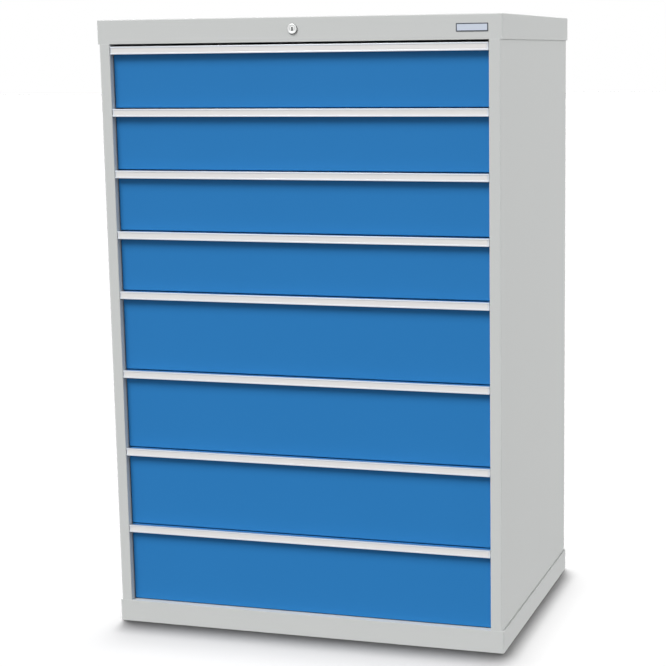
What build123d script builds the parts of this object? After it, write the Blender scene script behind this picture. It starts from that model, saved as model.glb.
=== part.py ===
from build123d import *
import math
import os

# Floor-standing drawer cabinet in folded sheet steel, in millimetres.
# X runs to the right seen from the front, the front faces -Y and Z points up.
# The origin is on the floor, below the middle of the whole cabinet.

# Body: a folded steel carcase between a base band and a top cover
body_width = 1005.0
body_depth = 732.0
body_sheet = 1.5
post_width = 27.5
jamb_depth = 25.0
post_corner_radius = 4.0
fold_radius = 2.0
back_flange = 20.0
wall_top_flange = 20.0

# Base band and top cover, both proud of the sides and flush with the front
band_overhang = 5.0
band_corner_radius = 5.0
base_height = 55.0
base_sheet = 2.0
base_flange = 30.0
floor_lap = 8.0
cover_height = 58.0
cover_gap = 6.0
cover_sheet = 1.5
cover_hem = 20.0
cover_edge_radius = 2.5

# Drawer modules from the top drawer down to the lowest one
small_module = 150.0
large_module = 200.0
module_heights = [small_module] * 4 + [large_module] * 4

# Handle strip: an aluminium section with a groove for labels and a finger gap behind it
strip_height = 18.7
strip_face = 3.0
strip_wall = 2.0
strip_top_depth = 8.0
strip_step = 5.0
strip_bead = 4.0
strip_side_gap = 1.0
strip_edge_radius = 0.7
label_lip = 0.8
label_thickness = 0.9
label_play = 0.1
label_lip_height = 3.5
label_lap = 1.0
label_end_gap = 4.0

# Drawer front: a shallow folded pan set back behind the handle strip
front_recess = 16.0
front_depth = 18.0
front_sheet = 1.2
front_side_gap = 2.0
front_bottom_gap = 2.0
front_top_gap = 0.5
front_edge_radius = 2.0
front_return = 32.0

# Drawer tray
tray_sheet = 1.0
side_space = 25.0
rear_space = 84.0
tray_lift = 6.0
tray_headroom = 28.0
tray_rim = 8.0

# Telescopic runners: three nested channels on each side of a drawer
runner_sheet = 1.5
runner_gap = 0.5
runner_web_gap = 2.0
runner_height = 44.0
runner_centre = 24.0
runner_start_gap = 1.0
runner_rear_margin = 16.0
fixed_lip = 14.0
middle_lip = 12.5
rail_start_gap = 1.0

# Uprights that carry the fixed runners
upright_setback = 1.0
upright_width = 40.0
upright_jamb_gap = 3.0
upright_rear_margin = 88.0
upright_top_gap = 6.0

# Lock in the top cover, seen from the front its plug turns clockwise to lock
lock_rise = 30.0
lock_proud = 4.0
rosette_radius = 12.0
rosette_edge_radius = 1.5
barrel_radius = 9.0
barrel_length = 24.0
barrel_play = 0.1
plug_radius = 6.5
plug_play = 0.05
plug_recess = 0.8
key_slot_width = 2.2
key_slot_height = 7.0
key_slot_depth = 10.0
cam_thickness = 3.0
cam_gap = 0.3
cam_hub_radius = 7.0
cam_end_radius = 4.5
pin_radius = 2.5
pin_offset = 8.0
pin_rest_angle = 45.0
pin_length = 8.0
pin_play = 0.4

# Lock bar: an arm behind the cover's front, a leg in the right front upright and its hooks
bar_thickness = 3.0
arm_height = 20.0
arm_end = 14.0
arm_gap = 3.7
leg_depth = 28.0
leg_inset = 7.0
leg_tail = 20.0
guide_play = 0.3
guide_height = 30.0
hook_depth = 6.0
hook_offset = 6.0
hook_height = 12.0
hook_window_play = 2.0
catch_depth = 3.0
catch_gap = 1.0
catch_clearance = 2.0
catch_height = 36.0
catch_stem = 8.0
catch_play = 1.5
catch_side_gap = 5.0

# Name plate, left bare
plate_width = 76.0
plate_height = 19.0
plate_thickness = 1.0
plate_border = 1.2
plate_recess = 0.3
plate_from_side = 28.5
plate_drop = 21.0

# Places worked out from the sizes above
overall_depth = body_depth + lock_proud
front_y = lock_proud - overall_depth / 2
back_y = front_y + body_depth
middle_y = (front_y + back_y) / 2
side_x = body_width / 2
opening_half = side_x - post_width
band_width = body_width + 2 * band_overhang
stack_top = base_height + sum(module_heights)
cover_bottom = stack_top + cover_gap
overall_height = cover_bottom + cover_height
wall_top = overall_height - cover_sheet

pan_y = front_y + front_recess
pan_back_y = pan_y + front_depth
front_width = 2 * (opening_half - front_side_gap)
strip_width = 2 * (opening_half - strip_side_gap)
tray_width = 2 * (opening_half - side_space)
tray_depth = body_depth - front_recess - front_depth - rear_space
tray_back_y = pan_back_y + tray_depth

upright_x = opening_half + upright_setback
upright_front_y = front_y + jamb_depth + upright_jamb_gap
upright_rear_y = back_y - upright_rear_margin - upright_width
runner_front_y = pan_back_y + runner_start_gap
runner_back_y = tray_back_y + runner_rear_margin
runner_length = runner_back_y - runner_front_y
middle_height = runner_height - 2 * (runner_sheet + runner_gap)
rail_height = middle_height - 2 * (runner_sheet + runner_gap)
middle_web_x = upright_x - runner_sheet - runner_web_gap
rail_tip_x = middle_web_x - runner_sheet - runner_web_gap

lock_z = cover_bottom + lock_rise
barrel_back_y = front_y + barrel_length
cam_back_y = barrel_back_y + cam_gap + cam_thickness
pin_x = pin_offset * math.cos(math.radians(pin_rest_angle))
pin_z = lock_z + pin_offset * math.sin(math.radians(pin_rest_angle))
bar_travel = 2 * pin_offset * math.sin(math.radians(pin_rest_angle))
arm_front_y = cam_back_y + arm_gap
arm_back_y = arm_front_y + bar_thickness
leg_x = upright_x + leg_inset
hook_front_y = arm_front_y + hook_offset
hook_back_y = hook_front_y + hook_depth
catch_front_y = hook_back_y + catch_gap


def module_floors():
    """Height of each drawer module's lower end, from the top drawer down."""
    floors = []
    level = stack_top
    for height in module_heights:
        level -= height
        floors.append(level)
    return floors


def runner_level(floor):
    """Height of the runner's centre line in the module that starts at floor."""
    return floor + tray_lift + runner_centre


def catch_level(floor):
    """Height of the top of the drawer's lock catch in the module that starts at floor."""
    return runner_level(floor) + catch_height


def save(piece, name):
    """Label a finished piece and write it as its own file."""
    piece.label = name
    export_step(piece, f"parts/{name}.step")


def channel_sections(web_x, lip, height, level, back, inward):
    """Two mirrored C sections across Y, with their webs' outer faces at web_x on each side."""
    toward = -1 if inward else 1
    with BuildSketch(Plane.XZ.offset(-back)) as sections:
        for side in (-1, 1):
            with Locations((side * (web_x + toward * runner_sheet / 2), level)):
                Rectangle(runner_sheet, height)
            for end in (-1, 1):
                edge = level + end * (height - runner_sheet) / 2
                with Locations((side * (web_x + toward * lip / 2), edge)):
                    Rectangle(lip, runner_sheet)
    return sections.sketch


os.makedirs("parts", exist_ok=True)

# Right side panel: wall, narrow front face and jamb folded from one sheet
with BuildPart() as right_side_panel:
    with BuildSketch(Plane.XY.offset(base_height)):
        with BuildLine():
            FilletPolyline(
                (side_x, back_y),
                (side_x, front_y),
                (opening_half, front_y),
                (opening_half, front_y + jamb_depth),
                radius=(post_corner_radius, fold_radius),
            )
            offset(amount=body_sheet, side=Side.RIGHT)
        make_face()
    extrude(amount=cover_bottom - base_height)
    # The wall runs on inside the top cover and ends in a flange under the cover's sheet
    with BuildSketch(Plane.XZ.offset(cover_sheet + body_sheet - back_y)):
        with BuildLine():
            FilletPolyline(
                (side_x, cover_bottom),
                (side_x, wall_top),
                (side_x - wall_top_flange, wall_top),
                radius=fold_radius,
            )
            offset(amount=body_sheet, side=Side.LEFT)
        make_face()
    extrude(amount=body_depth - cover_hem - cover_sheet - 2 * body_sheet)
save(right_side_panel.part, "right_side_panel")

with BuildPart() as left_side_panel:
    mirror(right_side_panel.part, about=Plane.YZ)
save(left_side_panel.part, "left_side_panel")

# Back panel: one sheet between the side walls, with a flange along each of them
with BuildPart() as back_panel:
    panel_x = side_x - body_sheet
    panel_y = back_y - cover_sheet
    with BuildSketch(Plane.XY.offset(base_height)):
        with BuildLine():
            FilletPolyline(
                (-panel_x, panel_y - back_flange),
                (-panel_x, panel_y),
                (panel_x, panel_y),
                (panel_x, panel_y - back_flange),
                radius=fold_radius,
            )
            offset(amount=body_sheet, side=Side.RIGHT)
        make_face()
    extrude(amount=wall_top - 2 * body_sheet - base_height)
save(back_panel.part, "back_panel")

# Top cover: a deep tray upside down, with a hem round its lower edge
with BuildPart() as top_cover:
    with BuildSketch(Plane.XY.offset(cover_bottom)):
        with Locations((0, middle_y)):
            RectangleRounded(band_width, body_depth, band_corner_radius)
    extrude(amount=cover_height)
    fillet(top_cover.faces().sort_by(Axis.Z)[-1].edges(), radius=cover_edge_radius)
    with BuildSketch(Plane.XY.offset(cover_bottom + cover_sheet)):
        with Locations((0, middle_y)):
            RectangleRounded(
                band_width - 2 * cover_sheet,
                body_depth - 2 * cover_sheet,
                band_corner_radius - cover_sheet,
            )
    extrude(amount=cover_height - 2 * cover_sheet, mode=Mode.SUBTRACT)
    window_depth = body_depth - cover_hem - cover_sheet
    with BuildSketch(Plane.XY.offset(cover_bottom)):
        with Locations((0, front_y + cover_hem + window_depth / 2)):
            Rectangle(body_width, window_depth)
    extrude(amount=cover_sheet, mode=Mode.SUBTRACT)
    with BuildSketch(Plane.XZ.offset(-front_y - cover_sheet)):
        with Locations((0, lock_z)):
            Circle(barrel_radius + barrel_play)
    extrude(amount=cover_sheet, mode=Mode.SUBTRACT)
save(top_cover.part, "top_cover")

# Base frame: a closed band with a flange inwards at its top and its bottom
with BuildPart() as base_frame:
    with BuildSketch():
        with Locations((0, middle_y)):
            RectangleRounded(band_width, body_depth, band_corner_radius)
    extrude(amount=base_height)
    with BuildSketch(Plane.XY.offset(base_sheet)):
        with Locations((0, middle_y)):
            RectangleRounded(
                band_width - 2 * base_sheet,
                body_depth - 2 * base_sheet,
                band_corner_radius - base_sheet,
            )
    extrude(amount=base_height - 2 * base_sheet, mode=Mode.SUBTRACT)
    with BuildSketch():
        with Locations((0, middle_y)):
            Rectangle(band_width - 2 * base_flange, body_depth - 2 * base_flange)
    extrude(amount=base_height, mode=Mode.SUBTRACT)
save(base_frame.part, "base_frame")

# Floor panel: closes the carcase, fixed under the base frame's top flange
with BuildPart() as floor_panel:
    with BuildSketch(Plane.XY.offset(base_height - base_sheet - body_sheet)):
        with Locations((0, middle_y)):
            Rectangle(
                band_width - 2 * (base_flange - floor_lap),
                body_depth - 2 * (base_flange - floor_lap),
            )
    extrude(amount=body_sheet)
save(floor_panel.part, "floor_panel")

# Runner uprights: two channels behind each jamb; the right front one also guides the lock bar
with BuildPart() as runner_uprights:
    wall_x = side_x - body_sheet
    for start_y in (upright_front_y, upright_rear_y):
        with BuildSketch(Plane.XY.offset(base_height)):
            with BuildLine():
                FilletPolyline(
                    (wall_x, start_y),
                    (upright_x, start_y),
                    (upright_x, start_y + upright_width),
                    (wall_x, start_y + upright_width),
                    radius=fold_radius,
                )
                offset(amount=body_sheet, side=Side.RIGHT)
            make_face()
        extrude(amount=cover_bottom - upright_top_gap - base_height)
    mirror(about=Plane.YZ)
    guide_thickness = leg_inset - body_sheet - guide_play
    for floor in module_floors():
        level = runner_level(floor)
        window_low = catch_level(floor) + catch_clearance - bar_travel - hook_window_play
        window_high = catch_level(floor) + catch_clearance + hook_height + hook_window_play
        with BuildSketch(Plane.YZ.offset(upright_x)):
            with Locations(((hook_front_y + hook_back_y) / 2, (window_low + window_high) / 2)):
                Rectangle(hook_depth + 2 * hook_window_play, window_high - window_low)
        extrude(amount=body_sheet, mode=Mode.SUBTRACT)
        with BuildSketch(Plane.YZ.offset(upright_x + body_sheet)):
            with Locations((arm_front_y + leg_depth / 2, level)):
                Rectangle(leg_depth, guide_height)
        extrude(amount=guide_thickness)
save(runner_uprights.part, "runner_uprights")

# Fixed runners: one pair for each drawer, on the uprights' inner faces
with BuildPart() as fixed_runners:
    for floor in module_floors():
        level = runner_level(floor)
        channels = channel_sections(
            upright_x, fixed_lip, runner_height, level, runner_back_y, inward=True
        )
        extrude(channels, amount=runner_length)
save(fixed_runners.part, "fixed_runners")

# Lock housing: a bright rosette in front of the cover and a round barrel through it
with BuildPart() as lock_housing:
    with BuildSketch(Plane.XZ.offset(-front_y)):
        with Locations((0, lock_z)):
            Circle(rosette_radius)
    extrude(amount=lock_proud)
    fillet(lock_housing.faces().sort_by(Axis.Y)[0].edges(), radius=rosette_edge_radius)
    with BuildSketch(Plane.XZ.offset(-barrel_back_y)):
        with Locations((0, lock_z)):
            Circle(barrel_radius)
    extrude(amount=barrel_length)
    with BuildSketch(Plane.XZ.offset(-barrel_back_y)):
        with Locations((0, lock_z)):
            Circle(plug_radius + plug_play)
    extrude(amount=barrel_length + lock_proud, mode=Mode.SUBTRACT)
save(lock_housing.part, "lock_housing")

# Lock rotor: the plug with its key slot, and behind it a cam with an eccentric pin
with BuildPart() as lock_rotor:
    plug_front_y = front_y - lock_proud + plug_recess
    with BuildSketch(Plane.XZ.offset(-cam_back_y)):
        with Locations((0, lock_z)):
            Circle(plug_radius)
    extrude(amount=cam_back_y - plug_front_y)
    with BuildSketch(Plane.XZ.offset(-cam_back_y)):
        with Locations((0, lock_z)):
            Circle(cam_hub_radius)
        with Locations((pin_x, pin_z)):
            Circle(cam_end_radius)
        make_hull()
    extrude(amount=cam_thickness)
    with BuildSketch(Plane.XZ.offset(-cam_back_y - pin_length)):
        with Locations((pin_x, pin_z)):
            Circle(pin_radius)
    extrude(amount=pin_length)
    with BuildSketch(Plane.XZ.offset(-plug_front_y - key_slot_depth)):
        with Locations((0, lock_z)):
            Rectangle(key_slot_width, key_slot_height)
    extrude(amount=key_slot_depth, mode=Mode.SUBTRACT)
save(lock_rotor.part, "lock_rotor")

# Lock bar: the pin lowers a slotted arm, and the leg welded to it has a hook for each drawer
with BuildPart() as lock_arm:
    with BuildSketch(Plane.XZ.offset(-arm_back_y)):
        with Locations(((leg_x - arm_end) / 2, pin_z)):
            Rectangle(leg_x + arm_end, arm_height)
        with Locations(((pin_x + pin_offset) / 2, pin_z)):
            slot_height = 2 * (pin_radius + pin_play)
            SlotOverall(pin_offset - pin_x + slot_height, slot_height, mode=Mode.SUBTRACT)
    extrude(amount=bar_thickness)
with BuildPart() as lock_leg:
    leg_top = pin_z + arm_height / 2
    leg_bottom = catch_level(module_floors()[-1]) - leg_tail
    with BuildSketch(Plane.YZ.offset(leg_x)):
        with Locations((arm_front_y + leg_depth / 2, (leg_top + leg_bottom) / 2)):
            Rectangle(leg_depth, leg_top - leg_bottom)
    extrude(amount=bar_thickness)
with BuildPart() as lock_hooks:
    with BuildSketch(Plane.YZ.offset(leg_x)):
        for floor in module_floors():
            hook_z = catch_level(floor) + catch_clearance + hook_height / 2
            with Locations(((hook_front_y + hook_back_y) / 2, hook_z)):
                Rectangle(hook_depth, hook_height)
    extrude(amount=rail_tip_x - catch_side_gap - leg_x)
save(Compound(children=[lock_arm.part, lock_leg.part, lock_hooks.part]), "lock_bar")

# Name plate: a thin metal plate with a raised border, without any text
with BuildPart() as name_plate:
    plate_x = side_x - plate_from_side - plate_width / 2
    plate_z = overall_height - plate_drop - plate_height / 2
    with BuildSketch(Plane.XZ.offset(-front_y)):
        with Locations((plate_x, plate_z)):
            RectangleRounded(plate_width, plate_height, plate_border)
    extrude(amount=plate_thickness)
    with BuildSketch(Plane.XZ.offset(plate_thickness - front_y)):
        with Locations((plate_x, plate_z)):
            Rectangle(plate_width - 2 * plate_border, plate_height - 2 * plate_border)
    extrude(amount=-plate_recess, mode=Mode.SUBTRACT)
save(name_plate.part, "name_plate")


def make_tray(number, floor, height):
    """Open box in thin sheet with a rim folded outwards at both sides and the back."""
    bottom = floor + tray_lift
    top = floor + height - tray_headroom
    centre_y = pan_back_y + tray_depth / 2
    with BuildPart() as tray:
        with BuildSketch(Plane.XY.offset(bottom)):
            with Locations((0, centre_y)):
                Rectangle(tray_width, tray_depth)
        extrude(amount=top - bottom)
        with BuildSketch(Plane.XY.offset(top)):
            with Locations((0, centre_y + tray_rim / 2)):
                Rectangle(tray_width + 2 * tray_rim, tray_depth + tray_rim)
        extrude(amount=-tray_sheet)
        with BuildSketch(Plane.XY.offset(bottom + tray_sheet)):
            with Locations((0, centre_y)):
                Rectangle(tray_width - 2 * tray_sheet, tray_depth - 2 * tray_sheet)
        extrude(amount=top - bottom - tray_sheet, mode=Mode.SUBTRACT)
    save(tray.part, f"drawer_tray_{number}")


def make_front(number, floor, height):
    """Shallow pan folded from one sheet; its returns lie against the tray's front wall."""
    low = floor + front_bottom_gap
    high = floor + height - front_top_gap
    with BuildPart() as front:
        with BuildSketch(Plane.XZ.offset(-pan_back_y)):
            with Locations((0, (low + high) / 2)):
                Rectangle(front_width, high - low)
        extrude(amount=front_depth)
        fillet(front.faces().sort_by(Axis.Y)[0].edges(), radius=front_edge_radius)
        with BuildSketch(Plane.XZ.offset(front_sheet - pan_back_y)):
            with Locations((0, (low + high) / 2)):
                Rectangle(front_width - 2 * front_sheet, high - low - 2 * front_sheet)
        extrude(amount=front_depth - 2 * front_sheet, mode=Mode.SUBTRACT)
        with BuildSketch(Plane.XZ.offset(-pan_back_y)):
            with Locations((0, (low + high) / 2)):
                Rectangle(front_width - 2 * front_return, high - low - 2 * front_return)
        extrude(amount=front_sheet, mode=Mode.SUBTRACT)
    save(front.part, f"drawer_front_{number}")


def make_handle_strip(number, top):
    """Aluminium section: label groove in front, finger gap behind, flange on the drawer front."""
    groove_depth = label_lip + label_thickness + label_play
    with BuildPart() as strip:
        with BuildSketch(Plane.YZ.offset(-strip_width / 2)):
            with Locations((front_y, top)):
                Rectangle(strip_face, strip_height, align=(Align.MIN, Align.MAX))
                Rectangle(strip_top_depth, strip_wall, align=(Align.MIN, Align.MAX))
            with Locations((front_y + strip_top_depth, top)):
                Rectangle(strip_wall, strip_step + strip_wall, align=(Align.MAX, Align.MAX))
            with Locations((pan_y, top - strip_step)):
                web = front_recess - strip_top_depth + strip_wall
                Rectangle(web, strip_wall, align=(Align.MAX, Align.MAX))
                Rectangle(strip_wall, strip_height - strip_step, align=(Align.MAX, Align.MAX))
            with Locations((front_y, top - strip_height)):
                Rectangle(strip_bead, strip_wall, align=(Align.MIN, Align.MIN))
            with Locations((front_y, top - strip_height / 2)):
                opening = strip_height - 2 * label_lip_height
                Rectangle(label_lip, opening, align=(Align.MIN, Align.CENTER), mode=Mode.SUBTRACT)
            with Locations((front_y + label_lip, top - strip_height / 2)):
                Rectangle(
                    groove_depth - label_lip,
                    opening + 2 * label_lap,
                    align=(Align.MIN, Align.CENTER),
                    mode=Mode.SUBTRACT,
                )
        extrude(amount=strip_width)
        long_edges = strip.edges().filter_by(Axis.X)
        front_edges = long_edges.group_by(Axis.Y)[0].sort_by(Axis.Z)
        fillet([front_edges[0], front_edges[-1]], radius=strip_edge_radius)
    save(strip.part, f"handle_strip_{number}")


def make_label_strip(number, top):
    """Paper insert under a clear cover, held behind the groove's two lips."""
    opening = strip_height - 2 * label_lip_height
    with BuildPart() as label:
        with BuildSketch(Plane.XZ.offset(-front_y - label_lip - label_thickness)):
            with Locations((0, top - strip_height / 2)):
                Rectangle(
                    strip_width - 2 * label_end_gap,
                    opening + 2 * (label_lap - label_play),
                )
        extrude(amount=label_thickness)
    save(label.part, f"label_strip_{number}")


def make_rails(number, floor):
    """Two channels on the tray's sides, and on the right one the catch for the lock's hook."""
    level = runner_level(floor)
    lip = rail_tip_x - tray_width / 2
    channels = channel_sections(
        tray_width / 2, lip, rail_height, level, tray_back_y, inward=False
    )
    with BuildPart() as rails:
        extrude(channels, amount=tray_depth - rail_start_gap)
    with BuildPart() as catch:
        stem_height = catch_height - rail_height / 2
        blade_height = catch_height - runner_height / 2 - catch_play
        with BuildSketch(Plane.XZ.offset(-catch_front_y - catch_depth)):
            with Locations((tray_width / 2, catch_level(floor))):
                Rectangle(catch_stem, stem_height, align=(Align.MIN, Align.MAX))
                Rectangle(lip, blade_height, align=(Align.MIN, Align.MAX))
        extrude(amount=catch_depth)
    save(Compound(children=[rails.part, catch.part]), f"drawer_rails_{number}")


def make_middle_runners(number, floor):
    """The two channels that travel half as far as the drawer."""
    level = runner_level(floor)
    channels = channel_sections(
        middle_web_x, middle_lip, middle_height, level, runner_back_y, inward=True
    )
    with BuildPart() as runners:
        extrude(channels, amount=runner_length)
    save(runners.part, f"middle_runners_{number}")


for number, (floor, height) in enumerate(zip(module_floors(), module_heights), start=1):
    make_tray(number, floor, height)
    make_front(number, floor, height)
    make_handle_strip(number, floor + height)
    make_label_strip(number, floor + height)
    make_rails(number, floor)
    make_middle_runners(number, floor)
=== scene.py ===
import math

import bmesh
import bpy
from mathutils import Matrix, Vector


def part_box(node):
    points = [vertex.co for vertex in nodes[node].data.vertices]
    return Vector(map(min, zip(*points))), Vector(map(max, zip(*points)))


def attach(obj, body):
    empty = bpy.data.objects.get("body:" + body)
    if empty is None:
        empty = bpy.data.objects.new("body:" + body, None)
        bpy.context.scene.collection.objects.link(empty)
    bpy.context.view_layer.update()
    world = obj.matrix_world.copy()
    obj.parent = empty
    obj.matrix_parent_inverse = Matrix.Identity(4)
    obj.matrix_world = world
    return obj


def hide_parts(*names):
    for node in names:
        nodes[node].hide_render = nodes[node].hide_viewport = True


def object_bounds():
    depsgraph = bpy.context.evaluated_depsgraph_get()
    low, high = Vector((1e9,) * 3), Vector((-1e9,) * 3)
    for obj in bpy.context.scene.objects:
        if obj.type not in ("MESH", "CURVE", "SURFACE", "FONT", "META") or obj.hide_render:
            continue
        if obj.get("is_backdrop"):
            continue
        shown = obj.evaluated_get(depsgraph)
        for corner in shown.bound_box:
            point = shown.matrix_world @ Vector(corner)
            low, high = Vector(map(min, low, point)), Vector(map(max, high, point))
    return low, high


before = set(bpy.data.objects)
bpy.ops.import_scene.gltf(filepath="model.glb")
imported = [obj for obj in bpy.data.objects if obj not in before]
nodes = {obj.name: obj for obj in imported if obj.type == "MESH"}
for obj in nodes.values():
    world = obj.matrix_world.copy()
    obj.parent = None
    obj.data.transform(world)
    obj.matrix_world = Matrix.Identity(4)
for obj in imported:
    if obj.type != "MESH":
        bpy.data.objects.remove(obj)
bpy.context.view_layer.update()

# Base frame: a band folded from 2 mm steel sheet, its four corners welded and ground smooth.
# It is powder coated light grey, like the whole body. Baked powder leaves a fine orange peel and
# a faint cloudiness, and its sharp edges are painted lighter, a painted highlight on the folds.
millimetre = 0.001
peel_strength = 0.22
peel_depth = 0.12 * millimetre
paint_cloud = 0.015
paint_swing = 0.06
edge_free_cosine = 0.999
edge_full_cosine = 0.80


def add_node(tree, kind, **values):
    """A shader node; names with a capital set its input sockets, the others its own settings."""
    node = tree.nodes.new(kind)
    for name, value in values.items():
        if name[0].isupper():
            node.inputs[name.replace("_", " ")].default_value = value
        else:
            setattr(node, name, value)
    return node


def wire(tree, source, output, target, entry):
    """Lead one node's output into another node's input."""
    tree.links.new(source.outputs[output], target.inputs[entry])


def feed(tree, value, target, entry):
    """Set a node's input to a value, or lead another node's result into it."""
    if isinstance(value, bpy.types.Node):
        wire(tree, value, "Result", target, entry)
    else:
        target.inputs[entry].default_value = value


def new_group(name, inputs, outputs):
    """A node group with its inputs' usual values and the given number outputs."""
    group = bpy.data.node_groups.new(name, "ShaderNodeTree")
    for title, value in inputs.items():
        kind = "NodeSocketVector" if isinstance(value, tuple) else "NodeSocketFloat"
        socket = group.interface.new_socket(title, in_out="INPUT", socket_type=kind)
        socket.default_value = value
    for title in outputs:
        group.interface.new_socket(title, in_out="OUTPUT", socket_type="NodeSocketFloat")
    return group, group.nodes.new("NodeGroupInput"), group.nodes.new("NodeGroupOutput")


def place_group(tree, group, **values):
    """One use of a node group in a material, with its own input values."""
    node = tree.nodes.new("ShaderNodeGroup")
    node.node_tree = group
    for name, value in values.items():
        node.inputs[name.replace("_", " ")].default_value = value
    return node


def new_material(name, roughness, metallic=0.0):
    """A material with a plain Principled shader, its node tree and that shader."""
    material = bpy.data.materials.new(name)
    material.use_nodes = True
    shader = material.node_tree.nodes["Principled BSDF"]
    shader.inputs["Roughness"].default_value = roughness
    shader.inputs["Metallic"].default_value = metallic
    return material, material.node_tree, shader


def shade_of(colour, share):
    """The same colour, lighter or darker by the given share."""
    return [min(1.0, channel * share) for channel in colour] + [1.0]


def blend_colours(tree, low, high, mask, output):
    """A blend from low, a colour or an earlier blend, to high as the mask goes from 0 to 1."""
    mixed = add_node(tree, "ShaderNodeMix", data_type="RGBA")
    feed(tree, low, mixed, "A")
    feed(tree, high, mixed, "B")
    wire(tree, mask, output, mixed, "Factor")
    return mixed


def vary_roughness(tree, shader, mask, output, low, high):
    """Let the roughness run between two values with a mask."""
    spread = add_node(tree, "ShaderNodeMapRange", To_Min=low, To_Max=high)
    wire(tree, mask, output, spread, "Value")
    wire(tree, spread, "Result", shader, "Roughness")


def add_relief(tree, shader, mask, output, strength, depth):
    """Let a mask stand as a fine relief in the surface."""
    relief = add_node(tree, "ShaderNodeBump", Strength=strength, Distance=depth)
    wire(tree, mask, output, relief, "Height")
    wire(tree, relief, "Normal", shader, "Normal")


def use(node, material):
    """Give a body part its finish."""
    nodes[node].data.materials.clear()
    nodes[node].data.materials.append(material)


peel_group, peel_in, peel_out = new_group(
    "Orange peel", {"Grain": 700.0, "Cloud": 5.0}, ["Height", "Tone"]
)
peel_place = add_node(peel_group, "ShaderNodeTexCoord")
peel_waves = add_node(peel_group, "ShaderNodeTexNoise", Detail=2.0, Roughness=0.45)
peel_clouds = add_node(peel_group, "ShaderNodeTexNoise", Detail=4.0, Roughness=0.6)
wire(peel_group, peel_place, "Object", peel_waves, "Vector")
wire(peel_group, peel_place, "Object", peel_clouds, "Vector")
wire(peel_group, peel_in, "Grain", peel_waves, "Scale")
wire(peel_group, peel_in, "Cloud", peel_clouds, "Scale")
wire(peel_group, peel_waves, "Fac", peel_out, "Height")
wire(peel_group, peel_clouds, "Fac", peel_out, "Tone")

# The edge mask finds sharp edges: powder coat is painted lighter there as a painted highlight, and zinc
# turns bare.
edge_group, edge_in, edge_out = new_group("Worn edge and painted highlight", {"Radius": 1.2 * millimetre}, ["Mask"])
edge_round = add_node(edge_group, "ShaderNodeBevel", samples=6)
edge_true = add_node(edge_group, "ShaderNodeNewGeometry")
edge_turn = add_node(edge_group, "ShaderNodeVectorMath", operation="DOT_PRODUCT")
edge_mask = add_node(edge_group, "ShaderNodeMapRange", From_Min=edge_free_cosine, From_Max=edge_full_cosine)
wire(edge_group, edge_in, "Radius", edge_round, "Radius")
wire(edge_group, edge_round, "Normal", edge_turn, 0)
wire(edge_group, edge_true, "True Normal", edge_turn, 1)
wire(edge_group, edge_turn, "Value", edge_mask, "Value")
wire(edge_group, edge_mask, "Result", edge_out, "Mask")


def powder_coat(name, colour, roughness, gloss, edge_highlight_share):
    """Baked powder paint in one colour, with its peel, its cloudiness and a painted highlight on its
    edges.
    """
    material, tree, shader = new_material(name, roughness)
    shader.inputs["Specular IOR Level"].default_value = gloss
    peel = place_group(tree, peel_group)
    edge = place_group(tree, edge_group)
    dark, light = shade_of(colour, 1 - paint_cloud), shade_of(colour, 1 + paint_cloud)
    cloudy = blend_colours(tree, dark, light, peel, "Tone")
    highlit_edges = blend_colours(tree, cloudy, shade_of(colour, edge_highlight_share), edge, "Mask")
    wire(tree, highlit_edges, "Result", shader, "Base Color")
    vary_roughness(tree, shader, peel, "Tone", roughness - paint_swing, roughness + paint_swing)
    add_relief(tree, shader, peel, "Height", peel_strength, peel_depth)
    return material


light_grey = (0.571, 0.584, 0.577)
body_paint = powder_coat("light_grey_powder_coat", light_grey, roughness=0.5, gloss=0.2, edge_highlight_share=1.25)
use("base_frame", body_paint)

# Floor panel: one flat sheet that closes the carcase from below, painted with the base frame.
# It lies under the base frame's top flange and is spot welded to it all round.
use("floor_panel", body_paint)

# Side and back panels: folded from 1.5 mm sheet. Each side has its wall, narrow front face and
# jamb in one piece, and the back's flanges are spot welded to both walls before painting.
for panel in ("left_side_panel", "right_side_panel", "back_panel"):
    use(panel, body_paint)

# Runner uprights and fixed runners: channels rolled from bright zinc-plated sheet, welded inside
# the walls and screwed to each other. The rollers leave fine lines along them, and the plating
# has a faint cloud of blue and straw tones.
zinc_blue = (0.36, 0.38, 0.41, 1.0)
zinc_straw = (0.46, 0.455, 0.43, 1.0)
zinc_bare = (0.60, 0.605, 0.61, 1.0)
zinc_roughness = 0.35
zinc_swing = 0.09
zinc_strength = 0.25
zinc_depth = 0.03 * millimetre
lines_upright = (1.0, 1.0, 0.02)
lines_lengthways = (1.0, 0.02, 1.0)
line_group, line_in, line_out = new_group(
    "Drawn lines", {"Stretch": (1.0, 1.0, 1.0), "Scale": 900.0, "Cloud": 14.0}, ["Lines", "Cloud"]
)
line_place = add_node(line_group, "ShaderNodeTexCoord")
line_stretch = add_node(line_group, "ShaderNodeMapping")
line_fine = add_node(line_group, "ShaderNodeTexNoise", Detail=3.0, Roughness=0.6)
line_cloud = add_node(line_group, "ShaderNodeTexNoise", Detail=3.0, Roughness=0.55)
wire(line_group, line_place, "Object", line_stretch, "Vector")
wire(line_group, line_in, "Stretch", line_stretch, "Scale")
wire(line_group, line_stretch, "Vector", line_fine, "Vector")
wire(line_group, line_in, "Scale", line_fine, "Scale")
wire(line_group, line_place, "Object", line_cloud, "Vector")
wire(line_group, line_in, "Cloud", line_cloud, "Scale")
wire(line_group, line_fine, "Fac", line_out, "Lines")
wire(line_group, line_cloud, "Fac", line_out, "Cloud")


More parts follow.
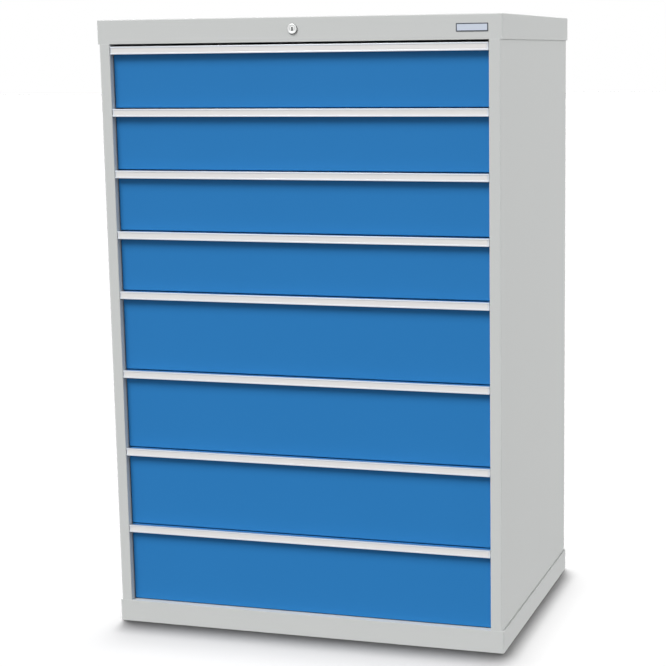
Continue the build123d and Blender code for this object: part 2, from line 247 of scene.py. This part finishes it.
def zinc_plate(name, stretch):
    """Bright zinc on rolled sheet, with its lines along the axis that is stretched."""
    material, tree, shader = new_material(name, zinc_roughness, metallic=1.0)
    lines = place_group(tree, line_group, Stretch=stretch)
    edge = place_group(tree, edge_group, Radius=0.6 * millimetre)
    toned = blend_colours(tree, zinc_blue, zinc_straw, lines, "Cloud")
    worn = blend_colours(tree, toned, zinc_bare, edge, "Mask")
    wire(tree, worn, "Result", shader, "Base Color")
    vary_roughness(tree, shader, lines, "Lines", zinc_roughness - zinc_swing, zinc_roughness + zinc_swing)
    add_relief(tree, shader, lines, "Lines", zinc_strength, zinc_depth)
    return material


upright_zinc = zinc_plate("zinc_drawn_upright", lines_upright)
runner_zinc = zinc_plate("zinc_drawn_lengthways", lines_lengthways)
use("runner_uprights", upright_zinc)
use("fixed_runners", runner_zinc)

# Top cover: a deep tray folded from 1.5 mm sheet and set upside down over the walls' flanges.
# Its corners are welded and ground, and it is screwed from inside, so that nothing shows.
use("top_cover", body_paint)

# Lock housing: a die-cast rosette and barrel in one, chromed, with a near-black painted shadow on
# its flank, pushed through the cover and held by a nut behind it. The rosette's face slopes in to the
# plug.
rosette_radius = 12 * millimetre
rosette_round = 1.5 * millimetre
rosette_rim = 2.4 * millimetre
rosette_slope = 0.5 * millimetre
rosette_flank = 0.5 * millimetre
barrel_radius = 9 * millimetre
bore_radius = 6.55 * millimetre
bore_chamfer = 0.45 * millimetre
lock_sides = 96
barrel_low, barrel_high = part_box("lock_housing")
lock_z = (barrel_low.z + barrel_high.z) / 2
cover_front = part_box("top_cover")[0].y
close = 0.02 * millimetre
smooth_below = math.radians(32)
wiped_darker, wiped_lighter = 0.94, 1.04
wiped_smoother, wiped_rougher = 0.7, 1.4


def shape(piece):
    """Open a piece for shaping, with nothing else selected."""
    bpy.ops.object.select_all(action="DESELECT")
    piece.select_set(True)
    bpy.context.view_layer.objects.active = piece
    bpy.ops.object.mode_set(mode="EDIT")
    return piece


def start_piece(name, add, stretch=(1, 1, 1), **values):
    """A primitive at its size and place, open for shaping."""
    bpy.ops.object.select_all(action="DESELECT")
    add(**values)
    piece = bpy.context.object
    piece.name = name
    piece.data.name = name
    piece.scale = stretch
    bpy.ops.object.transform_apply(location=True, rotation=True, scale=True)
    return shape(piece)


def start_block(name, low, high):
    """A block between two corners."""
    low, high = Vector(low), Vector(high)
    return start_piece(
        name, bpy.ops.mesh.primitive_cube_add, high - low, size=1, location=(low + high) / 2
    )


def start_round(name, radius, front, back, x=0.0, z=lock_z):
    """A round bar along Y from its front to its back."""
    return start_piece(
        name,
        bpy.ops.mesh.primitive_cylinder_add,
        vertices=lock_sides,
        radius=radius,
        depth=back - front,
        location=(x, (front + back) / 2, z),
        rotation=(math.pi / 2, 0, 0),
    )


def choose_faces(piece, test):
    """Select the faces whose middle and normal pass the test."""
    bpy.ops.mesh.select_mode(type="FACE")
    bpy.ops.mesh.select_all(action="DESELECT")
    for face in bmesh.from_edit_mesh(piece.data).faces:
        if test(face.calc_center_median(), face.normal):
            face.select_set(True)
    bmesh.update_edit_mesh(piece.data)


def choose_edges(piece, test):
    """Select the edges whose two ends pass the test."""
    bpy.ops.mesh.select_mode(type="EDGE")
    bpy.ops.mesh.select_all(action="DESELECT")
    for edge in bmesh.from_edit_mesh(piece.data).edges:
        if all(test(end.co) for end in edge.verts):
            edge.select_set(True)
    bmesh.update_edit_mesh(piece.data)


def choose_points(piece, test):
    """Select the points that pass the test."""
    bpy.ops.mesh.select_mode(type="VERT")
    bpy.ops.mesh.select_all(action="DESELECT")
    for point in bmesh.from_edit_mesh(piece.data).verts:
        if test(point.co):
            point.select_set(True)
    bmesh.update_edit_mesh(piece.data)


def push(x=0.0, y=0.0, z=0.0):
    """Extrude the selected faces by a step."""
    bpy.ops.mesh.extrude_region_move(TRANSFORM_OT_translate={"value": (x, y, z)})


def shift(x=0.0, y=0.0, z=0.0):
    """Move what is selected by a step."""
    bpy.ops.transform.translate(value=(x, y, z))


def end_shaping():
    """Merge doubles, turn all faces outwards and leave off shaping."""
    bpy.ops.mesh.select_all(action="SELECT")
    bpy.ops.mesh.remove_doubles(threshold=close / 4)
    bpy.ops.mesh.normals_make_consistent(inside=False)
    bpy.ops.object.mode_set(mode="OBJECT")


def apply_modifier(piece, kind, **settings):
    """Add a modifier with these settings and apply it."""
    modifier = piece.modifiers.new(kind.lower(), kind)
    for name, value in settings.items():
        setattr(modifier, name, value)
    bpy.context.view_layer.objects.active = piece
    bpy.ops.object.modifier_apply(modifier=modifier.name)


def combine(piece, other, operation):
    """Cut another piece away from this one, or weld it on."""
    apply_modifier(piece, "BOOLEAN", object=other, operation=operation, solver="EXACT")
    bpy.data.objects.remove(other)


def hand_over(piece, body, materials, replaced=()):
    """Smooth a finished piece, paint it and hang it on its body."""
    bpy.ops.object.select_all(action="DESELECT")
    piece.select_set(True)
    bpy.context.view_layer.objects.active = piece
    bpy.ops.object.shade_smooth_by_angle(angle=smooth_below)
    for material in materials:
        piece.data.materials.append(material)
    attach(piece, body)
    if replaced:
        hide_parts(*replaced)


def wiped_metal(name, colour, roughness):
    """Bare metal with the faint marks of wiping and a cloud of darker dust."""
    material, tree, shader = new_material(name, roughness, metallic=1.0)
    wipes = place_group(tree, line_group, Stretch=(1.0, 1.0, 0.3), Scale=2600.0, Cloud=60.0)
    dark, light = shade_of(colour, wiped_darker), shade_of(colour, wiped_lighter)
    toned = blend_colours(tree, dark, light, wipes, "Cloud")
    wire(tree, toned, "Result", shader, "Base Color")
    vary_roughness(tree, shader, wipes, "Lines", roughness * wiped_smoother, roughness * wiped_rougher)
    return material


def off_axis(place):
    """How far a point lies from the lock's axis."""
    return math.hypot(place.x, place.z - lock_z)


chrome = wiped_metal("lock_chrome", (0.66, 0.67, 0.665), roughness=0.45)
painted_shadow_flank = wiped_metal("lock_flank_painted_shadow", (0.14, 0.14, 0.14), roughness=0.55)
rosette = start_round("lock_rosette", rosette_radius, barrel_low.y, cover_front)
choose_faces(rosette, lambda middle, normal: normal.y > 0.9)
bpy.ops.mesh.inset(thickness=rosette_radius - barrel_radius)
push(y=barrel_high.y - cover_front)
bpy.ops.mesh.inset(thickness=barrel_radius - bore_radius)
bpy.ops.mesh.delete(type="FACE")
choose_faces(rosette, lambda middle, normal: normal.y < -0.9)
bpy.ops.mesh.inset(thickness=rosette_rim)
bpy.ops.mesh.inset(thickness=rosette_radius - rosette_rim - bore_radius)
shift(y=rosette_slope)
bpy.ops.mesh.delete(type="FACE")
bore_front = barrel_low.y + rosette_slope
choose_edges(
    rosette,
    lambda end: off_axis(end) < bore_radius + close
    and min(abs(end.y - bore_front), abs(end.y - barrel_high.y)) < close,
)
bpy.ops.mesh.bridge_edge_loops()
choose_edges(
    rosette, lambda end: off_axis(end) < bore_radius + close and abs(end.y - bore_front) < close
)
bpy.ops.mesh.bevel(offset=bore_chamfer, segments=2)
choose_edges(
    rosette, lambda end: off_axis(end) > rosette_radius - close and end.y < barrel_low.y + close
)
bpy.ops.mesh.bevel(offset=rosette_round, segments=6)
end_shaping()
hand_over(rosette, "cabinet", [chrome, painted_shadow_flank], ["lock_housing"])
# The flank's faces take the near-black material, a painted shadow round the rosette.
for face in rosette.data.polygons:
    if off_axis(face.center) > rosette_radius - rosette_flank:
        face.material_index = 1

# Lock rotor: a brass plug, chromed in front, with a milled keyway. Behind the barrel it carries
# a cam of steel plate, riveted on, whose pin lowers the lock bar as the key turns.
plug_radius = 6.5 * millimetre
plug_chamfer = 0.4 * millimetre
keyway_width = 3.3 * millimetre
keyway_height = 9.2 * millimetre
keyway_depth = 10 * millimetre
keyway_corner = 0.66 * millimetre
# The keyway's faces are painted near black with faint streaks, a painted shade for the slot's depth.
keyway_dark = (0.006, 0.006, 0.006, 1.0)
keyway_shade_pale = (0.03, 0.03, 0.028, 1.0)
cam_thickness = 3 * millimetre
cam_hub = 7 * millimetre
cam_tip = 4.5 * millimetre
pin_radius = 2.5 * millimetre
pin_length = 8 * millimetre
pin_reach = 8 * millimetre * math.sqrt(0.5)
rotor_low, rotor_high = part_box("lock_rotor")
cam_back = rotor_high.y - pin_length
cam_front = cam_back - cam_thickness
pin_place = {"x": pin_reach, "z": lock_z + pin_reach}
keyway_black, keyway_tree, keyway_shader = new_material("keyway_shadow", roughness=0.6, metallic=0.5)
keyway_shade_streaks = place_group(keyway_tree, line_group, Stretch=(1.0, 0.05, 1.0), Scale=3000.0)
keyway_tone = blend_colours(keyway_tree, keyway_dark, keyway_shade_pale, keyway_shade_streaks, "Lines")
wire(keyway_tree, keyway_tone, "Result", keyway_shader, "Base Color")

plug = start_round("lock_plug", plug_radius, rotor_low.y, cam_front + close)
choose_edges(plug, lambda end: end.y < rotor_low.y + close)
bpy.ops.mesh.bevel(offset=plug_chamfer, segments=2)
end_shaping()
cam = start_round("lock_cam", cam_hub, cam_front, cam_back)
bpy.ops.mesh.primitive_cylinder_add(
    vertices=lock_sides,
    radius=cam_tip,
    depth=cam_thickness,
    location=(pin_place["x"], (cam_front + cam_back) / 2, pin_place["z"]),
    rotation=(math.pi / 2, 0, 0),
)
bpy.ops.mesh.select_all(action="SELECT")
bpy.ops.mesh.convex_hull()
end_shaping()
combine(plug, cam, "UNION")
pin = start_round("lock_pin", pin_radius, cam_back - close, rotor_high.y, **pin_place)
choose_edges(pin, lambda end: end.y > rotor_high.y - close)
bpy.ops.mesh.bevel(offset=plug_chamfer, segments=2)
end_shaping()
combine(plug, pin, "UNION")
keyway = start_block(
    "keyway",
    (-keyway_width / 2, rotor_low.y - millimetre, lock_z - keyway_height / 2),
    (keyway_width / 2, rotor_low.y + keyway_depth, lock_z + keyway_height / 2),
)
choose_edges(keyway, lambda end: True)
bpy.ops.mesh.bevel(offset=keyway_corner, segments=2)
end_shaping()
combine(plug, keyway, "DIFFERENCE")
hand_over(plug, "lock_cylinder", [chrome, keyway_black], ["lock_rotor"])
# The keyway's faces take the near-black material, a painted shade in the slot.
for face in plug.data.polygons:
    middle = face.center
    inside_x = abs(middle.x) < keyway_width / 2 + close
    inside_z = abs(middle.z - lock_z) < keyway_height / 2 + close
    if inside_x and inside_z and rotor_low.y + close < middle.y < rotor_low.y + keyway_depth + close:
        face.material_index = 1

# Lock bar: a slotted arm and a leg of 3 mm zinc-plated flat steel, welded at a right angle, and
# a short hook of the same steel welded to the leg for each drawer.
use("lock_bar", upright_zinc)

# Name plate: a thin anodised aluminium plate glued to the cover. It has a dark printed line
# round a lower, bare, silvery blue face.
plate_line = 2.0 * millimetre
plate_step = 0.3 * millimetre
plate_corner = 1.2 * millimetre
lines_across = (0.02, 1.0, 1.0)
drawn_tone = 0.04
drawn_swing = 0.05
drawn_strength = 0.2
drawn_depth = 0.02 * millimetre


def anodised(name, colour, roughness, metallic):
    """Anodised aluminium with its drawing lines from left to right."""
    material, tree, shader = new_material(name, roughness, metallic=metallic)
    lines = place_group(tree, line_group, Stretch=lines_across, Scale=1100.0, Cloud=9.0)
    dark, light = shade_of(colour, 1 - drawn_tone), shade_of(colour, 1 + drawn_tone)
    toned = blend_colours(tree, dark, light, lines, "Lines")
    wire(tree, toned, "Result", shader, "Base Color")
    vary_roughness(tree, shader, lines, "Cloud", roughness - drawn_swing, roughness + drawn_swing)
    add_relief(tree, shader, lines, "Lines", drawn_strength, drawn_depth)
    return material


plate_print = anodised("plate_printed_line", (0.045, 0.055, 0.07), roughness=0.5, metallic=0.2)
plate_face = anodised("plate_satin_face", (0.53, 0.58, 0.67), roughness=0.42, metallic=0.5)
plate_low, plate_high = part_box("name_plate")
plate = start_block("name_plate_bare", plate_low, plate_high)
choose_faces(plate, lambda middle, normal: normal.y < -0.9)
bpy.ops.mesh.inset(thickness=plate_line)
bpy.ops.mesh.inset(thickness=plate_step)
shift(y=plate_step)
for side_x in (plate_low.x, plate_high.x):
    for side_z in (plate_low.z, plate_high.z):
        choose_edges(plate, lambda end: abs(end.x - side_x) < close and abs(end.z - side_z) < close)
        bpy.ops.mesh.bevel(offset=plate_corner, segments=4)
end_shaping()
hand_over(plate, "cabinet", [plate_print, plate_face], ["name_plate"])
for face in plate.data.polygons:
    if face.normal.y < -0.9 and face.center.y > plate_low.y + plate_step / 2:
        face.material_index = 1

# Drawer trays: open boxes folded from 1 mm sheet and painted like the body. All four walls have
# a row of punched slots for partitions, and a rim is folded out and down at the sides and back.
tray_sheet = 1 * millimetre
tray_rim = 8 * millimetre
tray_lip = 4 * millimetre
tray_fold = 1.2 * millimetre
slot_pitch = 17 * millimetre
slot_width = 3 * millimetre
slot_above_floor = 42 * millimetre
slot_below_rim = 12 * millimetre
sharp_corner = math.radians(40)
drawer_count = sum(name.startswith("drawer_tray_") for name in nodes)
drawer_numbers = range(1, drawer_count + 1)


def cut(place, normal):
    """Cut what is being shaped along a plane."""
    bpy.ops.mesh.select_all(action="SELECT")
    bpy.ops.mesh.bisect(plane_co=place, plane_no=normal)


def shape_walls(name, corner, along, length, opposite, top):
    """A slotted wall and the one opposite: one slot's width of it, repeated."""
    count = round(length / slot_pitch)
    pitch = length / count
    turn = 0 if along.x else math.pi / 2
    height = top - corner.z
    wall = start_piece(
        name,
        bpy.ops.mesh.primitive_plane_add,
        stretch=(pitch, height, 1),
        size=1,
        location=corner + along * pitch / 2 + Vector((0, 0, height / 2)),
        rotation=(math.pi / 2, 0, turn),
    )
    middle = corner + along * pitch / 2
    slot_low = corner.z + slot_above_floor
    slot_high = top - slot_below_rim
    for side in (-1, 1):
        cut(middle + along * side * slot_width / 2, along)
    for level in (slot_low, slot_high):
        cut((0, 0, level), (0, 0, 1))

    def punched(place, normal):
        return abs((place - middle).dot(along)) < close and slot_low < place.z < slot_high

    choose_faces(wall, punched)
    bpy.ops.mesh.delete(type="FACE")
    bpy.ops.object.mode_set(mode="OBJECT")
    repeat = {"use_relative_offset": False, "use_constant_offset": True, "use_merge_vertices": True}
    apply_modifier(wall, "ARRAY", count=count, constant_offset_displace=along * pitch, **repeat)
    apply_modifier(wall, "ARRAY", count=2, constant_offset_displace=opposite, **repeat)
    return wall


def shape_tray(name, low, high):
    """A whole tray, as sheet without thickness first, then bent round and thickened."""
    left, right = low.x + tray_rim, high.x - tray_rim
    front, back = low.y, high.y - tray_rim
    top = high.z - tray_sheet
    reach = tray_rim - tray_sheet
    corner = Vector((left, front, low.z))
    across, deep = Vector((right - left, 0, 0)), Vector((0, back - front, 0))
    side_walls = shape_walls("side_walls", corner, deep.normalized(), deep.length, across, top)
    tray = shape_walls(name, corner, across.normalized(), across.length, deep, top)
    side_walls.select_set(True)
    tray.select_set(True)
    bpy.context.view_layer.objects.active = tray
    bpy.ops.object.join()
    shape(tray)
    bpy.ops.mesh.select_all(action="SELECT")
    bpy.ops.mesh.remove_doubles(threshold=close)
    choose_edges(tray, lambda end: end.z < low.z + close)
    bpy.ops.mesh.edge_face_add()

    def on_side(end):
        return end.x < left + close or end.x > right - close

    def folded(end):
        return on_side(end) or end.y > back - close

    choose_edges(tray, lambda end: end.z > top - close and folded(end))
    bpy.ops.mesh.extrude_edges_move(TRANSFORM_OT_translate={"value": (0, 0, reach)})
    for test, step in (
        (lambda end: end.x < left + close, (-reach, 0, 0)),
        (lambda end: end.x > right - close, (reach, 0, 0)),
        (lambda end: end.y > back - close, (0, reach, 0)),
    ):
        choose_points(tray, lambda end: end.z > top + reach / 2 and test(end))
        shift(*step)
    choose_points(tray, lambda end: end.z > top + reach / 2)
    shift(z=-reach)
    choose_edges(
        tray,
        lambda end: end.x < left - reach + close
        or end.x > right + reach - close
        or end.y > back + reach - close,
    )
    bpy.ops.mesh.extrude_edges_move(TRANSFORM_OT_translate={"value": (0, 0, -tray_lip)})
    end_shaping()
    apply_modifier(
        tray, "BEVEL", width=tray_fold, segments=2, limit_method="ANGLE", angle_limit=sharp_corner
    )
    apply_modifier(tray, "SOLIDIFY", thickness=tray_sheet, offset=1, use_even_offset=True)
    return tray


def copy_at(piece, name, rise):
    """The same piece for another drawer, with its own bare mesh, higher or lower."""
    twin = piece.copy()
    twin.data = piece.data.copy()
    twin.name = name
    twin.data.name = name
    twin.data.transform(Matrix.Translation((0, 0, rise)))
    twin.data.materials.clear()
    bpy.context.scene.collection.objects.link(twin)
    return twin


first_trays = {}
for number in drawer_numbers:
    node = f"drawer_tray_{number}"
    low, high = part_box(node)
    height = round(high.z - low.z, 4)
    name = f"slotted_tray_{number}"
    if height in first_trays:
        first, first_low = first_trays[height]
        tray = copy_at(first, name, low.z - first_low.z)
    else:
        tray = shape_tray(name, low, high)
        first_trays[height] = (tray, low)
    hand_over(tray, f"drawer_{number}", [body_paint], [node])

# Drawer rails and middle runners: three nested channels carry each side of a drawer. The rails
# are riveted through the tray's walls, with the rivets' heads inside, and the middle channels
# run half as far.
rivet_radius = 3.2 * millimetre
rivet_height = 1.1 * millimetre
rivet_round = 0.88 * millimetre
rivet_sides = 20
rivet_count = 4
rivet_end_margin = 45 * millimetre
rivet_level = 24 * millimetre


def shape_rivets(name, low, high):
    """A row of rivet heads on each side wall's inner face."""
    wall_x = low.x + tray_rim + tray_sheet
    first_y = low.y + rivet_end_margin
    step = (high.y - tray_rim - rivet_end_margin - first_y) / (rivet_count - 1)
    rivets = start_piece(
        name,
        bpy.ops.mesh.primitive_cylinder_add,
        vertices=rivet_sides,
        radius=rivet_radius,
        depth=rivet_height,
        location=(wall_x + rivet_height / 2, first_y, low.z + rivet_level),
        rotation=(0, math.pi / 2, 0),
    )
    choose_edges(rivets, lambda end: end.x > wall_x + rivet_height - close)
    bpy.ops.mesh.bevel(offset=rivet_round, segments=3)
    end_shaping()
    apply_modifier(
        rivets,
        "ARRAY",
        count=rivet_count,
        use_relative_offset=False,
        use_constant_offset=True,
        constant_offset_displace=(0, step, 0),
    )
    apply_modifier(rivets, "MIRROR")
    shape(rivets)
    end_shaping()
    return rivets


first_low, first_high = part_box("drawer_tray_1")
for number in drawer_numbers:
    use(f"drawer_rails_{number}", runner_zinc)
    use(f"middle_runners_{number}", runner_zinc)
    name = f"rail_rivets_{number}"
    if number == 1:
        rivets = first_rivets = shape_rivets(name, first_low, first_high)
    else:
        rivets = copy_at(first_rivets, name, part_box(f"drawer_tray_{number}")[0].z - first_low.z)
    hand_over(rivets, f"drawer_{number}", [runner_zinc])

# Drawer fronts: shallow pans folded from one sheet, powder coated bright blue. Their returns lie
# against the trays' front walls and are screwed to them from inside.
bright_blue = (0.022, 0.182, 0.466)
# The fronts' sharp edges are painted lighter too, a painted highlight on the folds.
front_paint = powder_coat("blue_powder_coat", bright_blue, roughness=0.42, gloss=0.12, edge_highlight_share=1.1)
for number in drawer_numbers:
    use(f"drawer_front_{number}", front_paint)

# Handle strips: an extruded aluminium section, anodised in its natural colour and cut to length.
# It has a groove for labels in front, a finger gap behind and a leg fixed to the drawer's front.
strip_face = 3 * millimetre
strip_wall = 2 * millimetre
strip_top_depth = 8 * millimetre
strip_step = 5 * millimetre
strip_bead = 4 * millimetre
strip_round = 0.4 * millimetre
groove_mouth = 0.8 * millimetre
groove_depth = 1.8 * millimetre
groove_lip = 3.5 * millimetre
groove_lap = 1 * millimetre
same_plane = math.radians(1)


def shape_section(name, low, high, bars, hollows):
    """A section drawn out along X. Each bar and hollow is given by its front and back, counted
    from the section's front, and its top and bottom, counted down from the section's top."""
    depth, height = high.y - low.y, high.z - low.z
    section = start_piece(
        name,
        bpy.ops.mesh.primitive_plane_add,
        stretch=(height, depth, 1),
        size=1,
        location=(low.x, (low.y + high.y) / 2, (low.z + high.z) / 2),
        rotation=(0, math.pi / 2, 0),
    )
    for bar in (*bars, *hollows):
        for y in bar[:2]:
            cut((0, low.y + y, 0), (0, 1, 0))
        for z in bar[2:]:
            cut((0, 0, high.z - z), (0, 0, 1))

    def within(place, bar):
        return bar[0] < place.y - low.y < bar[1] and bar[2] < high.z - place.z < bar[3]

    def left_over(place, normal):
        solid = any(within(place, bar) for bar in bars)
        return not solid or any(within(place, bar) for bar in hollows)

    choose_faces(section, left_over)
    bpy.ops.mesh.delete(type="FACE")
    bpy.ops.mesh.select_all(action="SELECT")
    push(x=high.x - low.x)
    bpy.ops.mesh.select_all(action="SELECT")
    bpy.ops.mesh.normals_make_consistent(inside=False)
    bpy.ops.mesh.dissolve_limited(angle_limit=same_plane)
    end_shaping()
    apply_modifier(
        section, "BEVEL", width=strip_round, segments=2, limit_method="ANGLE", angle_limit=sharp_corner
    )
    return section


aluminium = anodised("natural_anodised", (0.66, 0.69, 0.735), roughness=0.42, metallic=0.85)
strip_low, strip_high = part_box("handle_strip_1")
strip_height = strip_high.z - strip_low.z
strip_depth = strip_high.y - strip_low.y
step_end = strip_step + strip_wall
strip_bars = [
    (0, strip_face, 0, strip_height),
    (0, strip_top_depth, 0, strip_wall),
    (strip_top_depth - strip_wall, strip_top_depth, 0, step_end),
    (strip_top_depth - strip_wall, strip_depth, strip_step, step_end),
    (strip_depth - strip_wall, strip_depth, strip_step, strip_height),
    (0, strip_bead, strip_height - strip_wall, strip_height),
]
strip_hollows = [
    (0, groove_mouth, groove_lip, strip_height - groove_lip),
    (groove_mouth, groove_depth, groove_lip - groove_lap, strip_height - groove_lip + groove_lap),
]
for number in drawer_numbers:
    name = f"drawn_strip_{number}"
    if number == 1:
        strip = first_strip = shape_section(name, strip_low, strip_high, strip_bars, strip_hollows)
    else:
        strip = copy_at(first_strip, name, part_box(f"handle_strip_{number}")[0].z - strip_low.z)
    hand_over(strip, f"drawer_{number}", [aluminium], [f"handle_strip_{number}"])

# Label strips: white card behind a clear cover, slid into the groove from its end. The card has
# its paper's faint fibres, and the cover gives it a smooth gloss.
paper_white = (0.72, 0.708, 0.70)
fibre_darker, fibre_lighter = 0.97, 1.02
fibre_strength = 0.1
fibre_depth = 0.02 * millimetre
card, card_tree, card_shader = new_material("label_card", roughness=0.6)
card_shader.inputs["Coat Weight"].default_value = 1.0
card_shader.inputs["Coat Roughness"].default_value = 0.12
card_fibres = place_group(card_tree, line_group, Stretch=(0.4, 1.0, 1.0), Scale=1500.0, Cloud=6.0)
card_dark, card_light = shade_of(paper_white, fibre_darker), shade_of(paper_white, fibre_lighter)
card_tone = blend_colours(card_tree, card_dark, card_light, card_fibres, "Lines")
wire(card_tree, card_tone, "Result", card_shader, "Base Color")
add_relief(card_tree, card_shader, card_fibres, "Lines", fibre_strength, fibre_depth)
for number in drawer_numbers:
    use(f"label_strip_{number}", card)

# Studio: a wide pale floor under a sky that is brightest low down, with a large lamp high on the
# left and weaker low ones on the right and behind. Two lamps far above light the floor alone, and
# only the carcase shades the narrower one, so that open drawers cast a light shadow.
sky_level = 0.92
sky_fall = 0.8
floor_open_level = 1.03
floor_tone = 0.18
floor_bounce = 0.2
floor_mirrored = 1.0
floor_size = 120.0
lamp_height = 2000.0
white = (1.0, 1.0, 1.0, 1.0)
sky_on_floor = sky_level * (1 - 2 * sky_fall / 3)
lamps_on_floor = floor_open_level / floor_tone - sky_on_floor
carcase = ("base_frame", "left_side_panel", "right_side_panel", "back_panel", "top_cover")
bpy.ops.object.select_all(action="DESELECT")
bpy.ops.mesh.primitive_plane_add(size=floor_size, location=(0, 0, 0))
floor = bpy.context.object
floor.name = "studio_floor"
floor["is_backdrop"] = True
floor_paint, floor_tree, floor_shader = new_material("studio_floor_paint", roughness=1.0)
floor_shader.inputs["Specular IOR Level"].default_value = 0.0
floor.data.materials.append(floor_paint)


def seen_level(tree, unseen, mirrored, seen):
    """A number with one value for light, one for what mirrors show and one for what is seen."""
    path = add_node(tree, "ShaderNodeLightPath")
    either = add_node(tree, "ShaderNodeMath", operation="MAXIMUM")
    indirect = add_node(tree, "ShaderNodeMapRange", To_Max=mirrored)
    level = add_node(tree, "ShaderNodeMapRange", To_Max=seen)
    wire(tree, path, "Is Glossy Ray", either, 0)
    wire(tree, path, "Is Transmission Ray", either, 1)
    wire(tree, either, "Value", indirect, "Value")
    feed(tree, unseen, indirect, "To Min")
    feed(tree, indirect, level, "To Min")
    wire(tree, path, "Is Camera Ray", level, "Value")
    return level


floor_shader.inputs["Emission Color"].default_value = white
floor_colour = seen_level(floor_tree, 0.0, 0.0, floor_tone)
floor_glow = seen_level(floor_tree, floor_bounce, floor_mirrored, 0.0)
wire(floor_tree, floor_colour, "Result", floor_shader, "Base Color")
wire(floor_tree, floor_glow, "Result", floor_shader, "Emission Strength")

world = bpy.data.worlds.new("studio_world")
bpy.context.scene.world = world
world.use_nodes = True
sky = world.node_tree
backing = sky.nodes["Background"]
backing.inputs["Color"].default_value = white
direction = add_node(sky, "ShaderNodeTexCoord")
upward = add_node(sky, "ShaderNodeSeparateXYZ")
fading = add_node(sky, "ShaderNodeMapRange", To_Min=sky_level, To_Max=sky_level * (1 - sky_fall))
wire(sky, direction, "Generated", upward, "Vector")
wire(sky, upward, "Z", fading, "Value")
sky_strength = seen_level(sky, fading, 1.0, 1.0)
wire(sky, sky_strength, "Result", backing, "Strength")


def add_lamp(name, kind, floor_link, **values):
    """A lamp that lights the cabinet alone, or the floor alone."""
    lamp = bpy.data.lights.new(name, kind)
    for title, value in values.items():
        setattr(lamp, title, value)
    holder = bpy.data.objects.new(name, lamp)
    bpy.context.scene.collection.objects.link(holder)
    group = bpy.data.collections.new(f"{name}_reach")
    group.objects.link(floor)
    holder.light_linking.receiver_collection = group
    group.collection_objects[0].light_linking.link_state = floor_link
    return holder


def add_sun(name, azimuth, elevation, level, spread):
    """A large far lamp for the cabinet. Azimuth 0 is in front of it and 90 on its right."""
    holder = add_lamp(name, "SUN", "EXCLUDE", energy=level * math.pi, angle=math.radians(spread))
    turn, lift = math.radians(azimuth), math.radians(elevation)
    toward = Vector((math.sin(turn) * math.cos(lift), -math.cos(turn) * math.cos(lift), math.sin(lift)))
    holder.rotation_euler = toward.to_track_quat("Z", "Y").to_euler()


add_sun("key_lamp", azimuth=-26, elevation=48, level=0.93, spread=30)
add_sun("side_lamp", azimuth=95, elevation=10, level=0.49, spread=30)
add_sun("rear_lamp", azimuth=208, elevation=8, level=0.54, spread=30)


def add_floor_lamp(name, share, left, back, reach_across, reach_back, shaded_by=()):
    """An oval lamp for the floor, all angles in degrees as seen from the cabinet's foot."""
    holder = add_lamp(
        name,
        "AREA",
        "INCLUDE",
        shape="ELLIPSE",
        size=2 * lamp_height * math.tan(math.radians(reach_across)),
        size_y=2 * lamp_height * math.tan(math.radians(reach_back)),
        energy=share * lamps_on_floor * (math.pi * lamp_height) ** 2,
    )
    across, deep = math.tan(math.radians(left)), math.tan(math.radians(back))
    holder.location = (-lamp_height * across, lamp_height * deep, lamp_height)
    if shaded_by:
        shade = bpy.data.collections.new(f"{name}_shade")
        for node in shaded_by:
            shade.objects.link(nodes[node])
        holder.light_linking.blocker_collection = shade


add_floor_lamp(
    "floor_lamp_near", share=0.6, left=0.95, back=2.1, reach_across=0.95, reach_back=2.1, shaded_by=carcase
)
add_floor_lamp("floor_lamp_wide", share=0.4, left=1.4, back=4.8, reach_across=2.9, reach_back=4.6)

# Camera: a long lens in front of the cabinet and to its right, a little lower than its top and
# tilted down. Its turns are in radians, and its shift brings the cabinet into the frame's middle.
photo_place = (1.45748, -4.25261, 1.42768)
photo_turn, photo_pitch, photo_roll = 0.29091, -0.17406, 0.01112
photo_lens = 93.61
photo_shift = (-0.12412, 0.0395)
camera_data = bpy.data.cameras.new("photo_camera")
camera_data.sensor_width = 36.0
camera_data.lens = photo_lens
camera_data.shift_x, camera_data.shift_y = photo_shift
camera = bpy.data.objects.new("photo_camera", camera_data)
bpy.context.scene.collection.objects.link(camera)
aim = (
    Matrix.Rotation(photo_turn, 3, "Z")
    @ Matrix.Rotation(photo_pitch, 3, "X")
    @ Matrix.Rotation(photo_roll, 3, "Y")
    @ Matrix.Rotation(math.pi / 2, 3, "X")
)
camera.matrix_world = Matrix.Translation(photo_place) @ aim.to_4x4()
bpy.context.scene.camera = camera
bpy.context.scene.view_settings.view_transform = "Standard"

low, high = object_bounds()
